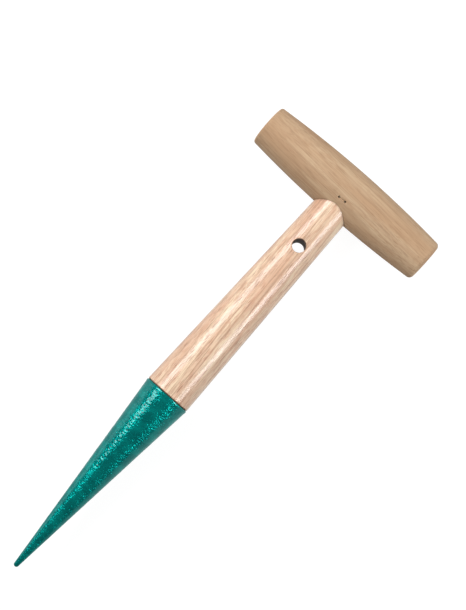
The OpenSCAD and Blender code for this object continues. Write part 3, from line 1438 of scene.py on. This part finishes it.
    def dress(self, piece: bpy.types.Object) -> None:
        """Finishes the shaft in lacquered wood."""
        dress(piece, "shaft", LACQUERED_WOOD.material(self.stains_and_shade))

    def stains_and_shade(self, graph: Graph) -> Signal:
        """Raw wood and painted shade in the hanging hole, a painted gap shadow in the seam at the point, and
        grime in the seam at the crosspiece.

        Args:
            graph: The material's nodes.

        Returns:
            Share of darkening.
        """
        place = self.layout
        x, y, z = graph.position()
        # painted shade in the hanging hole: its raw wall and a thin ring round its mouth are darkened
        hole = self.hole_raw_and_shade.near(x.hypot(y - place.hole_y), place.hole_r)
        # painted gap shadow: the wood is darkened just above the point's rim
        rim = self.rim_gap_shadow.near(y, place.rim_y)
        joint = self.joint_grime.near((y - place.cross_y).hypot(z - place.axis_z), place.cross_r)
        return hole.math("MAXIMUM", rim).math("MAXIMUM", joint)


@dataclass
class SteelPoint:
    """The hollow steel cone: a round nose, a rippled enamelled skin and a rounded rim.

    Attributes:
        layout: Where the pieces lie.
        rim_d: Outer diameter at the rim.
        nose_r: Radius of the nose.
        wall: Thickness of the steel.
        solid_tip: Length of solid steel at the tip.
        rim_edge_r: Rounding of the rim's outer edge.
        nail_drop: Distance from the rim to the nail's hole, on the underside.
        nail_hole_d: Diameters of the countersunk hole, at the skin and at its bottom.
        nail_hole_wall: Depth of its short straight wall.
        nail_hole_depth: Depth of the countersunk hole.
        nail_hole_margin: Width of the worked patch round it.
        nail_flat: Distance from its middle, as a share of its width, at which the ripple sets in.
        ripple_depth: Depth of the hammered ripple in the enamel.
        ripple_shares: Shares of the broad and the fine ripple in it.
        nose_share: Share of the ripple's depth that is left at the nose.
        thinning: Distance from the tip over which the ripple reaches its full depth.
        rim_band: Width of the smooth band at the rim, and of the ripple's fade below it.
        nose_fade: Distance from the tip over which the ripple sets in.
        nose_rows: Rows of the nose's round that belong to the rippled skin.
        columns: Points round the cone.
        steps: Rows along the cone.
        broad: Pattern of the broad ripple.
        fine: Pattern of the fine ripple.
    """

    layout: Layout
    rim_d: float = 27.5 * MM
    nose_r: float = 1.45 * MM
    wall: float = 1.2 * MM
    solid_tip: float = 25 * MM
    rim_edge_r: float = 0.9 * MM
    nail_drop: float = 8 * MM
    nail_hole_d: Pair = (3.4 * MM, 1.66 * MM)
    nail_hole_wall: float = 0.12 * MM
    nail_hole_depth: float = 1.0 * MM
    nail_hole_margin: float = 1.2 * MM
    nail_flat: float = 0.4
    ripple_depth: float = 0.19 * MM
    ripple_shares: Pair = (0.7, 0.3)
    nose_share: float = 0.25
    thinning: float = 90 * MM
    rim_band: float = 1.2 * MM
    nose_fade: float = 4 * MM
    nose_rows: int = 4
    columns: int = 232
    steps: int = 340
    broad: SolidNoise = field(init=False)
    fine: SolidNoise = field(init=False)

    def __post_init__(self) -> None:
        """Draws the ripple."""
        self.broad = SolidNoise(seed=21, cell=(1.3 * MM, 0.9 * MM, 1.3 * MM))
        self.fine = SolidNoise(seed=22, cell=(0.9 * MM, 0.7 * MM, 0.9 * MM))

    def slope(self) -> float:
        """Works out the cone's slope from the line that touches the nose's circle.

        Returns:
            Angle between the cone's side and its axis, in radians.
        """
        rim_r = self.rim_d / 2
        length = self.layout.rim_y - self.layout.tip_y - self.nose_r
        return math.atan2(rim_r, length) - math.asin(self.nose_r / math.hypot(rim_r, length))

    def outline(self) -> tuple[Array, tuple[int, int]]:
        """Works out the outline from the nose over the rim to the bottom of the hollow.

        Returns:
            The (along, radius) points, and the first and last row of the skin.
        """
        place = self.layout
        slope = self.slope()
        nose_turns = (HALF_TURN, QUARTER_TURN + slope)
        nose = arc((place.tip_y + self.nose_r, 0.0), self.nose_r, nose_turns, steps=14)
        edge_y = place.rim_y - self.rim_edge_r
        edge_r = self.rim_d / 2 - self.rim_edge_r * math.tan(slope)
        side = line(tuple(nose[-1]), (edge_y, edge_r), self.steps)[1:]
        flat_r = edge_r - self.rim_edge_r
        rim = arc((edge_y, flat_r), self.rim_edge_r, (QUARTER_TURN, 0.0), steps=6)
        inner_r = self.rim_d / 2 - self.wall / math.cos(slope)
        floor_y = place.tip_y + self.solid_tip
        floor_r = inner_r - (place.rim_y - floor_y) * math.tan(slope)
        hollow = np.concatenate([
            line((place.rim_y, flat_r), (place.rim_y, inner_r), steps=2)[1:],
            line((place.rim_y, inner_r), (floor_y, floor_r), steps=24),
            line((floor_y, 0.0), (floor_y, floor_r), steps=3)[::-1],
        ])
        first = len(nose) - self.nose_rows
        return np.concatenate([nose, side, rim, hollow]), (first, len(nose) + len(side))

    def relief(self, points: Array) -> Array:
        """Depth of the hammered ripple, which thins towards the nose and stops at the rim.

        Args:
            points: Points on the plain skin.

        Returns:
            Depths below it.
        """
        x, y, z = np.moveaxis(points, -1, 0)
        from_rim = self.layout.rim_y - y
        from_tip = y - self.layout.tip_y
        off_nail = np.hypot(x, from_rim - self.nail_drop) / self.nail_hole_d[0]
        flat = np.where(z < self.layout.axis_z, smooth(off_nail - self.nail_flat), 1.0)
        thin = self.nose_share + (1 - self.nose_share) * smooth(from_tip / self.thinning)
        ends = smooth((from_rim - self.rim_band) / self.rim_band) * smooth(from_tip / self.nose_fade)
        ripple = self.ripple_shares[0] * self.broad(points) + self.ripple_shares[1] * self.fine(points)
        return self.ripple_depth * thin * ends * flat * ripple

    def build(self) -> bpy.types.Object:
        """Builds the cone and its nail hole as one closed mesh.

        Returns:
            The piece.
        """
        outline, skin = self.outline()
        lathe = self.layout.along_shaft(outline, self.columns, skin, self.relief)
        return Shell.turned(lathe, [self.nail_hole(lathe)]).build("point_cone")

    def nail_hole(self, lathe: Lathe) -> tuple[Opening, Array]:
        """Works the countersunk hole on the underside: patch, short wall, cone and bottom.

        Args:
            lathe: The cone.

        Returns:
            The opening and the rows that line it.
        """
        wide, narrow = (d / 2 for d in self.nail_hole_d)
        place = (self.layout.rim_y - self.nail_drop, HALF_TURN)
        opening = Opening(lathe, place, (wide, wide), self.nail_hole_margin, self.rim_d / 2)
        inward = self.inward()
        edge = opening.lay(opening.rim())
        middle = edge.mean(axis=0)
        wall = edge + self.nail_hole_wall * inward
        bottom = middle + self.nail_hole_depth * inward
        spoke = edge - middle
        spoke -= (spoke @ inward)[:, None] * inward
        seat = bottom + spoke * (narrow / wide)
        centre = np.repeat(bottom[None], len(edge), axis=0)
        countersink = between(wall, seat, steps=4)
        return opening, np.concatenate([opening.patch(0.0), countersink, between(seat, centre, steps=2)[1:]])

    def inward(self) -> Array:
        """Unit direction square to the cone's underside, towards its axis."""
        return math.sin(self.slope()) * Y + math.cos(self.slope()) * Z

    def dress(self, piece: bpy.types.Object) -> None:
        """Finishes the cone in green enamel."""
        dress(piece, "steel_point", GREEN_ENAMEL.material())


@dataclass
class JointStaple:
    """The wire staple driven through the crosspiece into the shaft.

    Attributes:
        layout: Where the pieces lie.
        crown: Width over both legs.
        leg: Length of the legs, crown included.
        wire: Width and thickness of the flattened wire.
        wire_power: Power of the wire's section: a circle at 1, and squarer below.
        sink: Depth of the crown below the wood.
        drop: Distance from the crown to the crosspiece's axis, towards the point.
        side: Distance from the crown's middle to the shaft's axis.
        corner_r: Radius of the wire's middle line at the crown's corners.
        columns: Points round the wire.
    """

    layout: Layout
    crown: float = 5.2 * MM
    leg: float = 14 * MM
    wire: Pair = (1.1 * MM, 0.7 * MM)
    wire_power: float = 0.5
    sink: float = 0.7 * MM
    drop: float = 6 * MM
    side: float = 0.8 * MM
    corner_r: float = 0.75 * MM
    columns: int = 24

    def path(self) -> Array:
        """Middle line of the wire: up one leg, round a corner, along the crown and down the other leg.

        Returns:
            Flat (across, up) points from the crown's middle, (n, 2).
        """
        half = (self.crown - self.wire[1]) / 2
        top = -self.wire[1] / 2
        foot = -self.leg + self.wire[1]
        turn_x = half - self.corner_r
        turn_y = top - self.corner_r
        return np.concatenate([
            line((-half, foot), (-half, turn_y), steps=12),
            arc((-turn_x, turn_y), self.corner_r, (HALF_TURN, QUARTER_TURN), steps=8),
            line((-turn_x, top), (turn_x, top), steps=8)[1:],
            arc((turn_x, turn_y), self.corner_r, (QUARTER_TURN, 0.0), steps=8),
            line((half, foot), (half, turn_y), steps=12)[::-1],
        ])

    def build(self) -> bpy.types.Object:
        """Builds the staple with a rounded flat section and pinched tips.

        Each row of the wire is the path's point, plus the section's first number times the direction square
        to the path in its plane, plus its second number times the plane's own normal.

        Returns:
            The piece.
        """
        tilt = math.asin(self.drop / self.layout.cross_r)
        up = math.cos(tilt) * Z - math.sin(tilt) * Y
        axis = self.side * X + self.layout.cross_y * Y + self.layout.axis_z * Z
        crown = axis + (self.layout.cross_r - self.sink) * up
        flat = self.path()
        path = crown + flat[:, :1] * X + flat[:, 1:] * up
        normal = np.cross(X, up)
        ahead = np.gradient(path, axis=0)
        ahead /= np.linalg.norm(ahead, axis=1)[:, None]
        across = np.cross(normal, ahead)

        angle = np.linspace(0.0, FULL_TURN, self.columns, endpoint=False)
        circle = np.stack([np.cos(angle), np.sin(angle)], axis=1)
        section = np.sign(circle) * np.abs(circle) ** self.wire_power * np.array(self.wire[::-1]) / 2
        rows = path[:, None] + section[None, :, :1] * across[:, None] + section[None, :, 1:] * normal
        tips = path[[0, -1]] - self.wire[1] * up
        caps = np.repeat(tips[:, None], self.columns, axis=1)
        shell = Shell()
        shell.add(np.concatenate([caps[:1], rows, caps[1:]]))
        return shell.build("joint_staple_wire", crease=50.0)

    def dress(self, piece: bpy.types.Object) -> None:
        """Finishes the staple in dulled steel."""
        dress(piece, "joint_staple", STAPLE_STEEL.material())


@dataclass
class PointNail:
    """The countersunk nail that holds the point on the tenon, on the underside.

    Attributes:
        layout: Where the pieces lie.
        point: The cone that it is driven through.
        shank_d: Diameter of its shank.
        head_d: Diameter of its head.
        head_h: Height of its head.
        head_edge: Rounding of its head's edge.
        dish: Depth of the hollow in its head.
        dish_share: Share of the head's radius that is hollowed.
        length: Its length, head included.
        taper: Length of its pointed end.
        tip_share: Share of the shank's radius that is left at the pointed end.
        sink: Depth of its head below the skin.
        columns: Points round it.
    """

    layout: Layout
    point: SteelPoint
    shank_d: float = 1.6 * MM
    head_d: float = 3.2 * MM
    head_h: float = 0.8 * MM
    head_edge: float = 0.08 * MM
    dish: float = 0.05 * MM
    dish_share: float = 0.8
    length: float = 14 * MM
    taper: float = 3.2 * MM
    tip_share: float = 0.25
    sink: float = 0.15 * MM
    columns: int = 40

    def build(self) -> bpy.types.Object:
        """Builds the nail about its own axis, square to the cone's underside.

        Returns:
            The piece.
        """
        skin_r = self.point.rim_d / 2 - self.point.nail_drop * math.tan(self.point.slope())
        inward = self.point.inward()
        place = (self.layout.rim_y - self.point.nail_drop) * Y + (self.layout.axis_z - skin_r) * Z
        shank_r = self.shank_d / 2
        head_r = self.head_d / 2
        taper_start = self.length - self.taper
        head_turns = (HALF_TURN, QUARTER_TURN)
        outline = np.concatenate([
            line((self.dish, 0.0), (0.0, head_r * self.dish_share), steps=4),
            arc((self.head_edge, head_r - self.head_edge), self.head_edge, head_turns, steps=4),
            line((self.head_h, shank_r), (taper_start, shank_r), steps=6),
            line((taper_start, shank_r), (self.length, shank_r * self.tip_share), steps=4),
            np.array([[self.length, 0.0]]),
        ])
        origin = place + self.sink * inward
        lathe = Lathe(origin, inward, X, np.cross(inward, X), outline, self.columns, skin=(0, 0))
        return Shell.turned(lathe, []).build("point_nail_body", crease=35.0)

    def dress(self, piece: bpy.types.Object) -> None:
        """Finishes the nail in bright steel."""
        dress(piece, "point_nail", NAIL_STEEL.material())


# ---------------------------------------------------------------- studio


@dataclass(frozen=True)
class Softbox:
    """A soft rectangular light aimed at the piece.

    Attributes:
        name: Name of the light.
        bearing: Direction from the aim towards the light in degrees, from +X towards +Y.
        height: Angle of the light above the floor in degrees.
        distance: Distance from the aim.
        size: Width, and length along the shaft.
        power: Power in watts.
        middle: Place along the shaft that it faces.
        mirrored: Whether it shows as a highlight, or only lights softly.
    """

    name: str
    bearing: float
    height: float
    distance: float
    size: Pair
    power: float
    middle: float
    mirrored: bool = True

    def place(self, axis_z: float) -> None:
        """Hangs the light so that it faces the shaft's axis, with its length level.

        Args:
            axis_z: Height of the shaft's axis.
        """
        bearing = math.radians(self.bearing)
        height = math.radians(self.height)
        out = math.cos(bearing) * X + math.sin(bearing) * Y
        level = math.cos(bearing) * Y - math.sin(bearing) * X
        away = math.cos(height) * out + math.sin(height) * Z
        data = bpy.data.lights.new(self.name, "AREA")
        data.shape = "RECTANGLE"
        data.size, data.size_y = self.size
        data.energy = self.power
        lamp = bpy.data.objects.new(self.name, data)
        lamp.visible_camera = False
        lamp.visible_glossy = self.mirrored
        lamp.location = self.middle * Y + axis_z * Z + self.distance * away
        turned = np.stack([np.cross(level, away), level, away], axis=1)
        lamp.rotation_euler = Matrix(turned.tolist()).to_euler()
        bpy.context.scene.collection.objects.link(lamp)


SOFTBOXES = (
    Softbox("left_strip", bearing=180.0, height=47.0, distance=0.7, size=(0.31, 0.8), power=5.1, middle=0.19),
    Softbox("right_strip", bearing=0.0, height=33.0, distance=0.7, size=(0.25, 0.68), power=4.3, middle=0.30),
    Softbox("head_box", bearing=140.0, height=35.0, distance=1.0, size=(0.6, 0.4), power=2.0, middle=0.16),
    Softbox("low_left", bearing=180.0, height=3.0, distance=0.6, size=(0.30, 0.40), power=0.3, middle=-0.31),
    Softbox("front_fill", bearing=228.0, height=40.0, distance=0.9, size=(0.5, 0.5), power=1.4, middle=0.08,
            mirrored=False),
)


@dataclass(frozen=True)
class Studio:
    """The camera, lights and floor.

    Attributes:
        layout: Where the pieces lie.
        lens: Focal length in millimetres.
        distance: Distance from the camera to its aim.
        aim: Point on the shaft's level that the camera looks at.
        tilt_deg: Lean of the camera towards the point, and to its side.
        roll_deg: Turn of the camera about its line of sight.
        horizon: Grey of the surroundings at the horizon.
        sky: Grey of the surroundings from sky_from upwards.
        sky_from: Height of a direction, as a share of its length, from which the sky's grey holds.
        floor_half: Half the floor's width.
        floor_grey: Grey of the floor's own colour.
        floor_roughness: Roughness of the floor.
        floor_glow: Strength of the light that the floor gives.
    """

    layout: Layout
    lens: float = 85.0
    distance: float = 771 * MM
    aim: Pair = (-5.6 * MM, 40 * MM)
    tilt_deg: Pair = (3.93, -0.66)
    roll_deg: float = 41.63
    horizon: float = 0.54
    sky: float = 0.07
    sky_from: float = 0.25
    floor_half: float = 8.0
    floor_grey: float = 0.15
    floor_roughness: float = 0.9
    floor_glow: float = 0.93

    def camera(self) -> None:
        """Places the camera above the piece, nearly square to it and rolled."""
        data = bpy.data.cameras.new("camera")
        data.lens = self.lens
        turned = Euler([math.radians(a) for a in (*self.tilt_deg, self.roll_deg)], "YXZ")
        camera = bpy.data.objects.new("camera", data)
        camera.rotation_mode = "YXZ"
        camera.rotation_euler = turned
        back = turned.to_matrix() @ Vector(Z)
        camera.location = Vector((*self.aim, self.layout.axis_z)) + back * self.distance
        bpy.context.scene.collection.objects.link(camera)
        bpy.context.scene.camera = camera

    def lights(self) -> None:
        """Hangs the lights and sets the pale surroundings, darker from the horizon up."""
        for softbox in SOFTBOXES:
            softbox.place(self.layout.axis_z)
        world = bpy.data.worlds.new("studio")
        graph = Graph(world)
        direction = graph.node("ShaderNodeTexCoord", {}, {}, "Generated")
        height = graph.node("ShaderNodeSeparateXYZ", {}, {0: direction}, "Z")
        stops = ((0.0, (self.horizon,) * 3), (self.sky_from, (self.sky,) * 3))
        shade = graph.node("ShaderNodeValToRGB", {"stops": stops}, {"Fac": height}, "Color")
        light = graph.node("ShaderNodeBackground", {}, {"Color": shade})
        graph.make("ShaderNodeOutputWorld", {}, {"Surface": light})
        bpy.context.scene.world = world
        bpy.context.scene.view_settings.view_transform = "Standard"

    def floor(self) -> None:
        """Lays a plain pale floor that gives its own light and throws none on the piece."""
        half = self.floor_half
        mesh = bpy.data.meshes.new("floor")
        corners = [(-half, -half, 0), (half, -half, 0), (half, half, 0), (-half, half, 0)]
        mesh.from_pydata(corners, [], [(0, 1, 2, 3)])
        mesh.materials.append(principled("floor_white", lambda graph: {
            "Base Color": (self.floor_grey,) * 3,
            "Roughness": self.floor_roughness,
            "Specular IOR Level": 0.0,
            "Emission Color": (1.0, 1.0, 1.0),
            "Emission Strength": self.floor_glow,
        }))
        floor = bpy.data.objects.new("floor", mesh)
        floor.visible_diffuse = False
        floor.visible_glossy = False
        bpy.context.scene.collection.objects.link(floor)


def main() -> None:
    """Builds the dibber piece by piece."""
    logging.basicConfig(level=logging.INFO, format="%(name)s: %(message)s")
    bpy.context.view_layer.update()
    layout = Layout.read()
    studio = Studio(layout)
    studio.camera()
    studio.lights()
    studio.floor()
    point = SteelPoint(layout)
    parts = (Crosspiece(layout), Shaft(layout), point, JointStaple(layout), PointNail(layout, point))
    for part in parts:
        part.dress(part.build())


if __name__ == "__main__":
    main()
